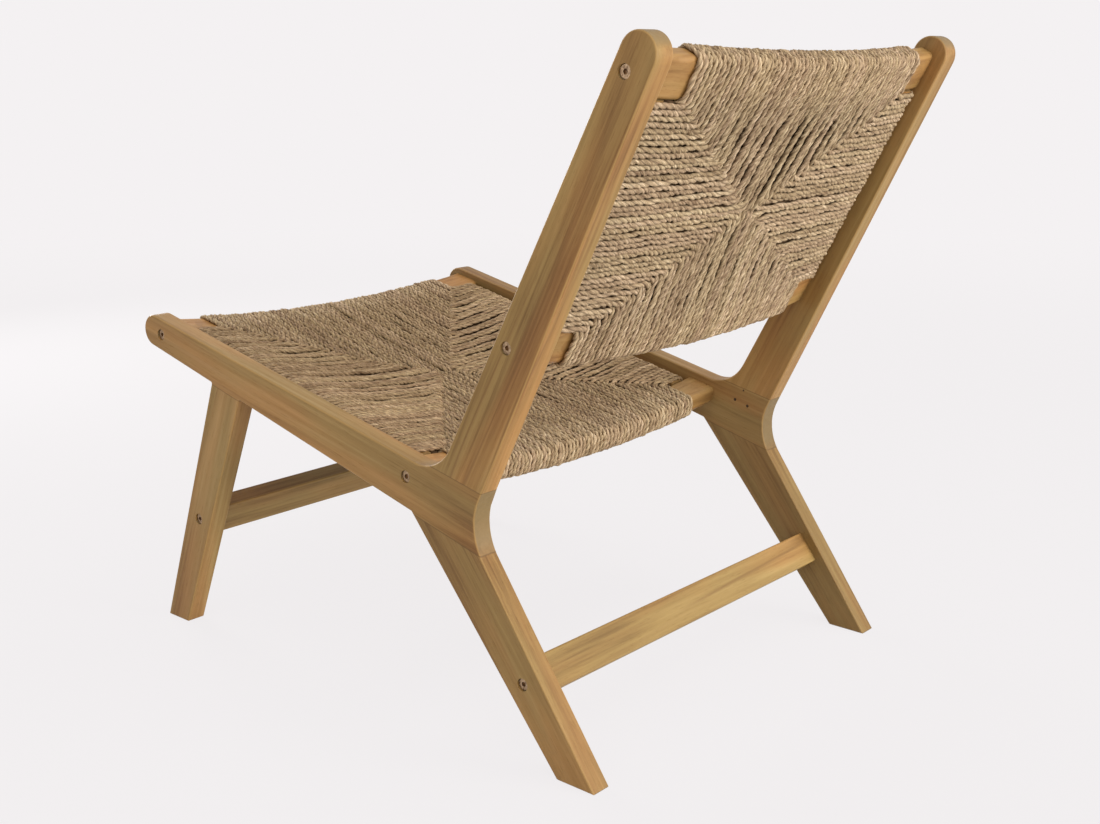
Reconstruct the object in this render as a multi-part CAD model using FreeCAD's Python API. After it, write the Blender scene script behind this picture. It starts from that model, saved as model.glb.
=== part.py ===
import FreeCAD, Part
import math
import os

# Low lounge chair: two flat timber side frames, joined by four dished cross rails and two stretchers,
# with a rope-woven seat and back. Millimetres. +Z is up, the chair faces -Y and the sitter's left is +X.
# The origin is on the floor, in the middle of the chair's plan.

Vector = FreeCAD.Vector

# Size over the side frames; the middle of the woven back bows a few millimetres past them
chair_width = 570.0
chair_depth = 804.0
chair_height = 743.0

# Side frames: boards of one thickness, with rounded edges
board_thickness = 25.0
edge_radius = 2.0
inner_corner_radius = 2.0
foot_chamfer = 1.5

# Seat rails: half-round nose, then a top and a bottom edge that fall and spread towards the rear
nose_height = 384.5
nose_radius = 19.5
rail_top_angle = 12.4
rail_bottom_angle = 14.4

# Back posts: round top, front and rear edges that spread downwards
post_top_radius = 21.0
post_front_angle = 28.4
post_rear_angle = 26.4
crotch_radius = 50.0
waist_radius = 65.0

# Legs: distance of each foot from the end of the chair, its length, and the rake of the edges above it
rear_foot_setback = 61.5
rear_foot_length = 50.0
rear_leg_heel_angle = 35.6
rear_leg_front_angle = 40.3
front_foot_setback = 10.5
front_foot_length = 42.5
front_leg_toe_angle = 20.6
front_leg_back_angle = 23.0

# Glue lines: each lies a little outside the rail's own edge, so that no board ends in a feather edge
post_seam_rise = 6.0
leg_seam_drop = 1.5

# Woven panels: lie of each panel and the distance between its two rails
seat_angle = 12.6
seat_rail_setback = 16.0
seat_rail_spacing = 453.0
back_angle = 28.4
back_rail_drop = 19.4
back_rail_forward = 5.2
back_rail_spacing = 301.0

# Cross rails: flat section with round edges, dished in the middle
cross_rail_width = 45.0
cross_rail_thickness = 22.0
cross_rail_corner = 6.0
cross_rail_dish = 18.0

# Side sticks: the bars inside each panel's left and right edges
stick_width = 24.0
stick_thickness = 22.0
stick_corner = 6.0
stick_tenon_diameter = 12.0
stick_tenon_length = 14.0

# Rope: the woven panels are as thick as their bars and one rope on each side
rope_diameter = 6.5
rope_side_gap = 4.5
stick_to_column_gap = 7.5
weave_clearance = 0.3
edge_slack = 1.0
middle_slack = 10.0
weave_stations = 7

# Stretchers: flat bars that lean with their legs
stretcher_width = 40.0
stretcher_thickness = 25.0
stretcher_edge_radius = 2.0
front_stretcher_height = 150.0
rear_stretcher_height = 91.5

# Bolts, threaded inserts and locating dowels at each end of the rails and stretchers
bolt_head_diameter = 13.0
bolt_head_height = 5.0
bolt_head_sink = 2.0
bolt_shank_diameter = 6.0
bolt_shank_length = 45.0
bolt_socket_size = 5.0
bolt_socket_depth = 3.0
bolt_socket_sides = 6
bolt_clearance = 0.5
insert_diameter = 10.0
insert_length = 15.0
insert_sink = 1.0
dowel_diameter = 8.0
dowel_length = 26.0
dowel_offset = 13.0
dowel_in_frame = 12.0

# Glued dowels in the joints of the side frames
glue_dowel_diameter = 10.0
glue_dowel_length = 36.0
glue_dowel_spacing = 30.0
fit_clearance = 0.1
hole_end_room = 1.0

# Tacks that hold the rope's ends to the inner faces of the sticks
tack_head_diameter = 5.0
tack_head_height = 1.0
tack_shank_diameter = 1.6
tack_length = 14.0
tack_end_distance = 60.0

# Points nearer than this count as one
tolerance = 0.01

half_width = chair_width / 2
inner_x = half_width - board_thickness
X_AXIS = Vector(1, 0, 0)
Y_AXIS = Vector(0, 1, 0)


def degrees_sin(angle):
    return math.sin(math.radians(angle))


def degrees_cos(angle):
    return math.cos(math.radians(angle))


# Side profile: points are vectors in the plane X = 0, and a line is a point and a direction

def meet(line_a, line_b):
    """Point where two lines of the side profile cross."""
    point_a, along_a = line_a
    point_b, along_b = line_b
    apart = point_b - point_a
    cross = along_a.y * along_b.z - along_a.z * along_b.y
    reach = (apart.y * along_b.z - apart.z * along_b.y) / cross
    return point_a + along_a * reach


def sloping(point, slope):
    """Line through a point that falls towards the rear by an angle from the level."""
    return point, Vector(0, degrees_cos(slope), -degrees_sin(slope))


def raked(point, rake):
    """Line through a point that leans to the rear by an angle from the upright."""
    return point, Vector(0, degrees_sin(rake), degrees_cos(rake))


def shifted(line, distance):
    """The same line moved square to itself: positive to the left of its direction, seen from +X."""
    point, along = line
    return point + Vector(0, -along.z, along.y) * distance, along


nose = Vector(0, nose_radius - chair_depth / 2, nose_height)
post_top = Vector(0, chair_depth / 2 - post_top_radius, chair_height - post_top_radius)
rail_top = shifted(sloping(nose, rail_top_angle), nose_radius)
rail_bottom = shifted(sloping(nose, rail_bottom_angle), -nose_radius)
nose_angle = (rail_top_angle + rail_bottom_angle) / 2
nose_tip = shifted(raked(nose, nose_angle), nose_radius)
post_front = shifted(raked(post_top, post_front_angle), post_top_radius)
post_rear = shifted(raked(post_top, post_rear_angle), -post_top_radius)
post_angle = (post_front_angle + post_rear_angle) / 2
post_tip = shifted(sloping(post_top, post_angle), post_top_radius)
rear_heel = Vector(0, chair_depth / 2 - rear_foot_setback, 0)
rear_toe = rear_heel - Y_AXIS * rear_foot_length
front_toe = Vector(0, front_foot_setback - chair_depth / 2, 0)
front_heel = front_toe + Y_AXIS * front_foot_length
rear_leg_heel = raked(rear_heel, -rear_leg_heel_angle)
rear_leg_front = raked(rear_toe, -rear_leg_front_angle)
front_leg_toe = raked(front_toe, front_leg_toe_angle)
front_leg_back = raked(front_heel, front_leg_back_angle)
post_seam = shifted(rail_top, post_seam_rise)
leg_seam = shifted(rail_bottom, -leg_seam_drop)
rear_leg_angle = -(rear_leg_heel_angle + rear_leg_front_angle) / 2
front_leg_angle = (front_leg_toe_angle + front_leg_back_angle) / 2


def rounded_outline(corners):
    """Closed wire of straight runs and tangent arcs through (corner, radius) pairs."""
    starts = []
    middles = []
    ends = []
    for index, (corner, radius) in enumerate(corners):
        before = corners[index - 1][0]
        after = corners[(index + 1) % len(corners)][0]
        to_before = (before - corner).normalize()
        to_after = (after - corner).normalize()
        half_angle = to_before.getAngle(to_after) / 2
        tangent = radius / math.tan(half_angle)
        bisector = (to_before + to_after).normalize()
        starts.append(corner + to_before * tangent)
        middles.append(corner + bisector * radius * (1 / math.sin(half_angle) - 1))
        ends.append(corner + to_after * tangent)
    edges = []
    for index, (corner, radius) in enumerate(corners):
        if radius:
            edges.append(Part.Arc(starts[index], middles[index], ends[index]).toShape())
        following = starts[(index + 1) % len(corners)]
        if (following - ends[index]).Length > tolerance:
            edges.append(Part.makeLine(ends[index], following))
    return Part.Wire(Part.__sortEdges__(edges))


def frame_blank():
    """One side frame in a single piece, its inner face at X = 0 and its round-overs done."""
    outline = rounded_outline([
        (meet(rail_top, nose_tip), nose_radius),
        (meet(rail_top, post_front), crotch_radius),
        (meet(post_front, post_tip), post_top_radius),
        (meet(post_tip, post_rear), post_top_radius),
        (meet(post_rear, rear_leg_heel), waist_radius),
        (rear_heel, 0),
        (rear_toe, 0),
        (meet(rear_leg_front, rail_bottom), inner_corner_radius),
        (meet(rail_bottom, front_leg_back), inner_corner_radius),
        (front_heel, 0),
        (front_toe, 0),
        (meet(front_leg_toe, rail_bottom), inner_corner_radius),
        (meet(rail_bottom, nose_tip), nose_radius),
    ])
    board = Part.Face(outline).extrude(X_AXIS * board_thickness)
    feet = [edge for edge in board.Edges if edge.BoundBox.ZMax < tolerance]
    board = board.makeChamfer(foot_chamfer, feet)
    rims = []
    for edge in board.Edges:
        box = edge.BoundBox
        if box.XLength < tolerance and box.ZMax > foot_chamfer + tolerance:
            rims.append(edge)
    return board.makeFillet(edge_radius, rims)


def between(upper, lower):
    """Slab of space between two lines of the side profile, wide enough to hold the whole frame."""
    reach = chair_depth + chair_height
    corners = []
    for point, along in (upper, lower):
        corners.append(point - along * reach)
        corners.append(point + along * reach)
    corners = [corners[0], corners[1], corners[3], corners[2], corners[0]]
    slab = Part.Face(Part.makePolygon(corners)).extrude(X_AXIS * chair_width)
    return slab.translated(-X_AXIS * half_width)


def frame_boards():
    """The four boards of a side frame, cut from the blank along their glue lines."""
    blank = frame_blank()
    space = chair_depth + chair_height
    above = blank.common(between(shifted(post_seam, space), post_seam))
    middle = blank.common(between(post_seam, leg_seam))
    below = blank.common(between(leg_seam, shifted(leg_seam, -space)))
    legs = sorted(below.Solids, key=lambda leg: leg.CenterOfMass.y)
    return {
        "seat_rail": middle.Solids[0],
        "back_post": above.Solids[0],
        "front_leg": legs[0],
        "rear_leg": legs[1],
    }


def rod(diameter, length, base, along):
    return Part.makeCylinder(diameter / 2, length, base, along)


# Places of the bolts in the side profile, each with the direction of the locating dowel beside it
seat_along = sloping(nose, seat_angle)[1]
back_along = raked(post_top, back_angle)[1]
back_forward = Vector(0, -back_along.z, back_along.y)
seat_front_place = nose + seat_along * seat_rail_setback
seat_rear_place = seat_front_place + seat_along * seat_rail_spacing
back_top_place = post_top - back_along * back_rail_drop + back_forward * back_rail_forward
back_bottom_place = back_top_place - back_along * back_rail_spacing


def on_leg(front_edge, rear_edge, height):
    """Middle of a leg at a height above the floor."""
    level = (Vector(0, 0, height), Y_AXIS)
    return (meet(front_edge, level) + meet(rear_edge, level)) / 2


front_stretcher_place = on_leg(front_leg_toe, front_leg_back, front_stretcher_height)
rear_stretcher_place = on_leg(rear_leg_front, rear_leg_heel, rear_stretcher_height)
front_leg_along = raked(front_toe, front_leg_angle)[1]
rear_leg_along = raked(rear_toe, rear_leg_angle)[1]

# Board of the side frame, cross piece, place of the bolt, way to the dowel
fixings = [
    ("seat_rail", "seat_front_rail", seat_front_place, seat_along),
    ("seat_rail", "seat_rear_rail", seat_rear_place, -seat_along),
    ("back_post", "back_bottom_rail", back_bottom_place, back_along),
    ("back_post", "back_top_rail", back_top_place, -back_along),
    ("front_leg", "front_stretcher", front_stretcher_place, front_leg_along),
    ("rear_leg", "rear_stretcher", rear_stretcher_place, rear_leg_along),
]

# Fixings of the +X side, all running along X

bolt_seat_x = half_width - bolt_head_sink - bolt_head_height


def bolt(place):
    """Socket-head bolt, its head sunk below the outer face of the side frame."""
    base = Vector(bolt_seat_x, place.y, place.z)
    head = rod(bolt_head_diameter, bolt_head_height, base, X_AXIS)
    shank = rod(bolt_shank_diameter, bolt_shank_length, base, -X_AXIS)
    half_side = 180 / bolt_socket_sides
    corner_radius = bolt_socket_size / 2 / degrees_cos(half_side)
    corners = []
    for step in range(bolt_socket_sides + 1):
        around = 2 * half_side * step
        corners.append(Vector(0, degrees_cos(around), degrees_sin(around)) * corner_radius)
    socket = Part.Face(Part.makePolygon(corners)).extrude(X_AXIS * bolt_socket_depth)
    socket_base = base + X_AXIS * (bolt_head_height - bolt_socket_depth)
    return head.fuse(shank).removeSplitter().cut(socket.translated(socket_base))


def bolt_hole(place):
    """Counterbore and clear hole for a bolt, from outside the frame to past the bolt's end."""
    base = Vector(bolt_seat_x, place.y, place.z)
    counterbore = rod(bolt_head_diameter + 2 * bolt_clearance, board_thickness, base, X_AXIS)
    length = bolt_shank_length + hole_end_room
    return counterbore.fuse(rod(bolt_shank_diameter + bolt_clearance, length, base, -X_AXIS))


def insert(place):
    """Threaded sleeve just below the end of a cross piece."""
    base = Vector(inner_x - insert_sink, place.y, place.z)
    sleeve = rod(insert_diameter, insert_length, base, -X_AXIS)
    return sleeve.cut(rod(bolt_shank_diameter + 2 * fit_clearance, insert_length, base, -X_AXIS))


def insert_hole(place):
    base = Vector(inner_x + fit_clearance, place.y, place.z)
    length = insert_sink + insert_length + fit_clearance
    return rod(insert_diameter + 2 * fit_clearance, length, base, -X_AXIS)


def dowel(place, way):
    base = Vector(inner_x + dowel_in_frame, place.y, place.z) + way * dowel_offset
    return rod(dowel_diameter, dowel_length, base, -X_AXIS)


def dowel_hole(place, way):
    base = Vector(inner_x + dowel_in_frame + hole_end_room, place.y, place.z) + way * dowel_offset
    return rod(dowel_diameter + 2 * fit_clearance, dowel_length + 2 * hole_end_room, base, -X_AXIS)


def mirrored(shape):
    return shape.mirror(Vector(0, 0, 0), X_AXIS)


def glue_dowels(seam, front_edge, rear_edge):
    """Two places on a glue line, either side of the middle of the board that sits on it."""
    step = seam[1] * glue_dowel_spacing / 2
    middle = (meet(seam, front_edge) + meet(seam, rear_edge)) / 2
    return [middle - step, middle + step]


def square_to(seam):
    along = seam[1]
    return Vector(0, -along.z, along.y)


# Name of the dowel group, its glue line, the front and rear edges of the board that sits on it, that board
glue_joints = [
    ("post_dowels", post_seam, post_front, post_rear, "back_post"),
    ("rear_leg_dowels", leg_seam, rear_leg_front, rear_leg_heel, "rear_leg"),
    ("front_leg_dowels", leg_seam, front_leg_toe, front_leg_back, "front_leg"),
]

# Woven panels, in their own frame: X across the chair, Y from the first rail to the second, Z to the sitter

dish_radius = (inner_x ** 2 + cross_rail_dish ** 2) / (2 * cross_rail_dish)
dish_turn = 2 * math.degrees(math.asin(inner_x / dish_radius))
rope_x = inner_x - rope_side_gap
stick_outer_x = rope_x - rope_diameter
stick_x = stick_outer_x - stick_width / 2
column_x = stick_outer_x - stick_width - rope_diameter - stick_to_column_gap


def dish_at(x):
    """How far the middle line of a cross rail lies below its ends, at a distance from the middle."""
    return dish_radius - cross_rail_dish - math.sqrt(dish_radius ** 2 - x ** 2)


def rounded_bar_face(width, thickness, corner, centre):
    """Round-cornered rectangle square to X."""
    half = Vector(0, width / 2, 0)
    rise = Vector(0, 0, thickness / 2)
    corners = [centre - half - rise, centre + half - rise, centre + half + rise, centre - half + rise]
    return Part.Face(rounded_outline([(point, corner) for point in corners]))


def cross_rail(y, allowance):
    """Dished rail between the two side frames: its section turned about a far axis above it."""
    width = cross_rail_width + 2 * allowance
    thickness = cross_rail_thickness + 2 * allowance
    centre = Vector(0, y, -cross_rail_dish)
    face = rounded_bar_face(width, thickness, cross_rail_corner + allowance, centre)
    axis_point = Vector(0, 0, dish_radius - cross_rail_dish)
    face.rotate(axis_point, Y_AXIS, dish_turn)
    bar = face.revolve(axis_point, Y_AXIS, -2 * dish_turn)
    length = 2 * inner_x
    room = Part.makeBox(length, width, chair_height, Vector(-inner_x, y - width / 2, -chair_height / 2))
    return bar.common(room).Solids[0]


def stick(spacing, side, allowance):
    """Side stick with a turned tenon at each end, let into the two cross rails."""
    length = spacing - cross_rail_width
    centre = Vector(side * stick_x, cross_rail_width / 2, dish_at(stick_x))
    width = stick_width + 2 * allowance
    thickness = stick_thickness + 2 * allowance
    half = Vector(width / 2, 0, 0)
    rise = Vector(0, 0, thickness / 2)
    corners = [centre - half - rise, centre + half - rise, centre + half + rise, centre - half + rise]
    section = Part.Face(rounded_outline([(point, stick_corner + allowance) for point in corners]))
    bar = section.extrude(Y_AXIS * length)
    tenon_base = centre - Y_AXIS * stick_tenon_length
    tenon = rod(stick_tenon_diameter + 2 * allowance, length + 2 * stick_tenon_length, tenon_base, Y_AXIS)
    return bar.fuse(tenon).removeSplitter()


def tenon_holes(spacing):
    """Holes for the stick tenons, right through the gap between the two rails."""
    reach = stick_tenon_length + hole_end_room
    holes = []
    for side in (-1, 1):
        base = Vector(side * stick_x, cross_rail_width / 2 - reach, dish_at(stick_x))
        length = spacing - cross_rail_width + 2 * reach
        holes.append(rod(stick_tenon_diameter + 2 * fit_clearance, length, base, Y_AXIS))
    return Part.makeCompound(holes)


def weave_section(x, spacing):
    """Outline of the rope at one place across the panel: round each rail, drawn in between them."""
    middle = dish_at(x)
    wrap_y = cross_rail_width / 2 + rope_diameter
    wrap_z = cross_rail_thickness / 2 + rope_diameter
    corner = cross_rail_corner + rope_diameter
    leave_y = wrap_y - corner
    slack = edge_slack + (middle_slack - edge_slack) * (1 - (x / column_x) ** 2)
    turn = corner * degrees_sin(45)

    def at(y, z):
        return Vector(x, y, middle + z)

    top = at(spacing / 2, wrap_z - slack)
    bottom = at(spacing / 2, -wrap_z + slack)
    flat = wrap_z - corner
    edges = [
        Part.makeLine(at(-wrap_y, -flat), at(-wrap_y, flat)),
        Part.Arc(at(-wrap_y, flat), at(-leave_y - turn, flat + turn), at(-leave_y, wrap_z)).toShape(),
        Part.Arc(at(-leave_y, wrap_z), top, at(spacing + leave_y, wrap_z)).toShape(),
        Part.Arc(at(spacing + leave_y, wrap_z), at(spacing + leave_y + turn, flat + turn),
                 at(spacing + wrap_y, flat)).toShape(),
        Part.makeLine(at(spacing + wrap_y, flat), at(spacing + wrap_y, -flat)),
        Part.Arc(at(spacing + wrap_y, -flat), at(spacing + leave_y + turn, -flat - turn),
                 at(spacing + leave_y, -wrap_z)).toShape(),
        Part.Arc(at(spacing + leave_y, -wrap_z), bottom, at(-leave_y, -wrap_z)).toShape(),
        Part.Arc(at(-leave_y, -wrap_z), at(-leave_y - turn, -flat - turn), at(-wrap_y, -flat)).toShape(),
    ]
    return Part.Wire(edges)


def weave_edge(spacing, side):
    """Rope wound round one side stick, from the outer edge inwards to the panel's body."""
    start = cross_rail_width / 2 + weave_clearance
    length = spacing - 2 * start
    rise = Vector(0, 0, stick_thickness / 2 + rope_diameter)
    corner = stick_corner + rope_diameter
    outer = Vector(side * rope_x, start, dish_at(stick_x))
    inner = Vector(side * (column_x - rope_diameter), start, dish_at(stick_x))
    corners = [(outer - rise, corner), (outer + rise, corner), (inner + rise, 0), (inner - rise, 0)]
    outline = rounded_outline(corners)
    return Part.Face(outline).extrude(Y_AXIS * length)


def woven_panel(spacing):
    """Closed solid of the woven rope, with room inside it for the rails and sticks."""
    pitch = 2 * column_x / (weave_stations - 1)
    stations = [step * pitch - column_x for step in range(weave_stations)]
    body = Part.makeLoft([weave_section(x, spacing) for x in stations], True, False)
    for side in (-1, 1):
        body = body.fuse(weave_edge(spacing, side))
    for y in (0, spacing):
        body = body.cut(cross_rail(y, weave_clearance))
    for side in (-1, 1):
        body = body.cut(stick(spacing, side, weave_clearance))
    return max(body.Solids, key=lambda solid: solid.Volume)


def tack(side, y):
    """Tack with its head let in flush, in the inner face of a side stick."""
    face_x = side * (stick_x - stick_width / 2)
    outward = X_AXIS * side
    base = Vector(face_x, y, dish_at(stick_x))
    head = rod(tack_head_diameter, tack_head_height, base, outward)
    return head.fuse(rod(tack_shank_diameter, tack_length, base, outward)).removeSplitter()


def tack_hole(side, y):
    face_x = side * (stick_x - stick_width / 2)
    outward = X_AXIS * side
    base = Vector(face_x, y, dish_at(stick_x))
    recess = rod(tack_head_diameter + 2 * fit_clearance, tack_head_height, base, outward)
    return recess.fuse(rod(tack_shank_diameter + 2 * fit_clearance, tack_length, base, outward))


def panel_pieces(name, first, second, spacing, origin, tilt):
    """Rails, sticks, weave and tacks of one panel, turned and set at its place on the chair."""
    holes = tenon_holes(spacing)
    tack_places = [(-1, tack_end_distance), (1, spacing - tack_end_distance)]
    pieces = {
        first: cross_rail(0, 0).cut(holes),
        second: cross_rail(spacing, 0).cut(holes),
        "woven_" + name: woven_panel(spacing),
    }
    for side, y in tack_places:
        side_name = "left" if side > 0 else "right"
        bar = stick(spacing, side, 0)
        pieces[side_name + "_" + name + "_stick"] = bar.cut(tack_hole(side, y))
    placed = {}
    turn = FreeCAD.Placement(origin, FreeCAD.Rotation(X_AXIS, tilt))
    for node, shape in pieces.items():
        placed[node] = shape.transformed(turn.toMatrix())
    tacks = [tack(side, y) for side, y in tack_places]
    placed["rope_tacks"] = [shape.transformed(turn.toMatrix()) for shape in tacks]
    return placed


def stretcher(place, rake):
    """Flat bar between two legs, leaning with them."""
    centre = Vector(-inner_x, 0, 0)
    face = rounded_bar_face(stretcher_thickness, stretcher_width, stretcher_edge_radius, centre)
    bar = face.extrude(X_AXIS * 2 * inner_x)
    bar.rotate(Vector(0, 0, 0), X_AXIS, -rake)
    return bar.translated(Vector(0, place.y, place.z))


# Side boards, drilled for the bolts and dowels
boards = frame_boards()
nodes = {}
glued = {}
for board_name, board in boards.items():
    board = board.translated(X_AXIS * inner_x)
    for owner, cross_piece, place, way in fixings:
        if owner == board_name:
            board = board.cut(bolt_hole(place)).cut(dowel_hole(place, way))
    boards[board_name] = board

middle_x = half_width - board_thickness / 2
for group, seam, front_edge, rear_edge, owner in glue_joints:
    square = square_to(seam)
    glued[group] = []
    for place in glue_dowels(seam, front_edge, rear_edge):
        base = Vector(middle_x, place.y, place.z) - square * glue_dowel_length / 2
        pin = rod(glue_dowel_diameter, glue_dowel_length, base, square)
        hole_base = base - square * hole_end_room
        hole_length = glue_dowel_length + 2 * hole_end_room
        hole = rod(glue_dowel_diameter + 2 * fit_clearance, hole_length, hole_base, square)
        glued[group].append(pin)
        for board_name in ("seat_rail", owner):
            boards[board_name] = boards[board_name].cut(hole)

for board_name, board in boards.items():
    nodes["left_" + board_name] = board
    nodes["right_" + board_name] = mirrored(board)
for group, pins in glued.items():
    nodes[group] = Part.makeCompound(pins + [mirrored(pin) for pin in pins])

# Cross rails, sticks and weave of the seat and the back
seat = panel_pieces("seat", "seat_front_rail", "seat_rear_rail", seat_rail_spacing,
                    seat_front_place, -seat_angle)
back = panel_pieces("back", "back_bottom_rail", "back_top_rail", back_rail_spacing,
                    back_bottom_place, 90 - back_angle)
nodes["rope_tacks"] = Part.makeCompound(seat.pop("rope_tacks") + back.pop("rope_tacks"))
nodes.update(seat)
nodes.update(back)
nodes["front_stretcher"] = stretcher(front_stretcher_place, front_leg_angle)
nodes["rear_stretcher"] = stretcher(rear_stretcher_place, rear_leg_angle)

# Holes in the ends of the cross pieces, and what goes into them
bolts = []
inserts = []
dowels = []
for owner, cross_piece, place, way in fixings:
    holes = insert_hole(place).fuse([bolt_hole(place), dowel_hole(place, way)])
    nodes[cross_piece] = nodes[cross_piece].cut(holes).cut(mirrored(holes))
    for pieces, piece in ((bolts, bolt(place)), (inserts, insert(place)), (dowels, dowel(place, way))):
        pieces.append(piece)
        pieces.append(mirrored(piece))
nodes["frame_bolts"] = Part.makeCompound(bolts)
nodes["threaded_inserts"] = Part.makeCompound(inserts)
nodes["locating_dowels"] = Part.makeCompound(dowels)

os.makedirs("parts", exist_ok=True)
for node, shape in nodes.items():
    shape.exportStep("parts/" + node + ".step")
    print(node, len(shape.Solids), "solids", round(shape.Volume), "mm3", shape.isValid())
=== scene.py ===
import math
import bpy
import numpy as np
from mathutils import Matrix, Vector


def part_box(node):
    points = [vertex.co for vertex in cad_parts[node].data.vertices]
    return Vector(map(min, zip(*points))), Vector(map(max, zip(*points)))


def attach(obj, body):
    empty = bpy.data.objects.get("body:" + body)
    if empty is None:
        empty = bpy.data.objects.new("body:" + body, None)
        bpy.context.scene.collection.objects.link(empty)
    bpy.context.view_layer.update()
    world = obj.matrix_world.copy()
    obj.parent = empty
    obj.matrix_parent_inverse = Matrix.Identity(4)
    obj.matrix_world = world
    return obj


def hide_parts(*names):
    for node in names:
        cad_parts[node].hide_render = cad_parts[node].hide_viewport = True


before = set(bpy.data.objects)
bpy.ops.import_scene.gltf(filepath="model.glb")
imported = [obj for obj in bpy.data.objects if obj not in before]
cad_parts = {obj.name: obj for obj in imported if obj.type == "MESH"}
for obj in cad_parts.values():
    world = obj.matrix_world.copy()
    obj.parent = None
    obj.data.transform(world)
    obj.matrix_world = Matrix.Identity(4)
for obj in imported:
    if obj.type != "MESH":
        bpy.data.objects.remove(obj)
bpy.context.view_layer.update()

# Side frames
# Four oiled hardwood boards a side, planed 25 mm thick with eased edges: seat rail, back post and two legs.
# They are dowelled and glued edge to edge, so the grain turns at each glue line and the line itself shows.


def add_node(tree, kind, *values, **settings):
    """Shader node with its own settings, and its inputs filled in order: a socket is linked, a value set."""
    made = tree.nodes.new("ShaderNode" + kind)
    for name, value in settings.items():
        setattr(made, name, value)
    for socket, value in zip(made.inputs, values):
        if isinstance(value, bpy.types.NodeSocket):
            tree.links.new(value, socket)
        else:
            socket.default_value = value
    return made


def calculate(tree, operation, *values):
    """Output of a Math node."""
    return add_node(tree, "Math", *values, operation=operation).outputs[0]


def dot(tree, place, direction):
    """How far a vector reaches along a direction."""
    return add_node(tree, "VectorMath", place, direction, operation="DOT_PRODUCT").outputs["Value"]


def between(tree, value, low, high, to_low=0.0, to_high=1.0):
    """A value carried smoothly from one range to another and held at the ends."""
    made = add_node(tree, "MapRange", value, low, high, to_low, to_high, interpolation_type="SMOOTHSTEP")
    return made.outputs[0]


def noise(tree, place, rates, seed, detail=2.0, roughness=0.5):
    """Noise from 0 to 1, with so many features per unit along each axis of a place."""
    stretched = add_node(tree, "VectorMath", place, rates, operation="MULTIPLY").outputs[0]
    made = add_node(tree, "TexNoise", stretched, seed, 1.0, detail, roughness, noise_dimensions="4D")
    return made.outputs[0]


def mix_colours(tree, share, first, second, blend="MIX"):
    """Two colours mixed by a share."""
    made = add_node(tree, "Mix", share, data_type="RGBA", blend_type=blend)
    for socket, value in ((made.inputs[6], first), (made.inputs[7], second)):
        if isinstance(value, bpy.types.NodeSocket):
            tree.links.new(value, socket)
        else:
            socket.default_value = value
    return made.outputs[2]


def colour_steps(tree, share, steps):
    """Colour read from a row of (place, colour) steps."""
    made = add_node(tree, "ValToRGB", share)
    elements = made.color_ramp.elements
    while len(elements) < len(steps):
        elements.new(1.0)
    for element, (place, colour) in zip(elements, steps):
        element.position = place
        element.color = colour
    return made.outputs[0]


def relief(tree, shader, height, strength, distance):
    """Bump of a height from 0 to 1 times a distance in metres."""
    bump = tree.nodes.new("ShaderNodeBump")
    bump.inputs["Strength"].default_value = strength
    bump.inputs["Distance"].default_value = distance
    tree.links.new(height, bump.inputs["Height"])
    tree.links.new(bump.outputs[0], shader.inputs["Normal"])


def new_material(name):
    """Fresh material, with its node tree and its main shader."""
    material = bpy.data.materials.new(name)
    material.use_nodes = True
    return material, material.node_tree, material.node_tree.nodes["Principled BSDF"]


def dress(node, material):
    """Gives a CAD node its finish."""
    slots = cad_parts[node].data.materials
    slots.clear()
    slots.append(material)


def shaded(colour, factor):
    """The same colour, darker or lighter."""
    return (colour[0] * factor, colour[1] * factor, colour[2] * factor, 1.0)


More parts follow.
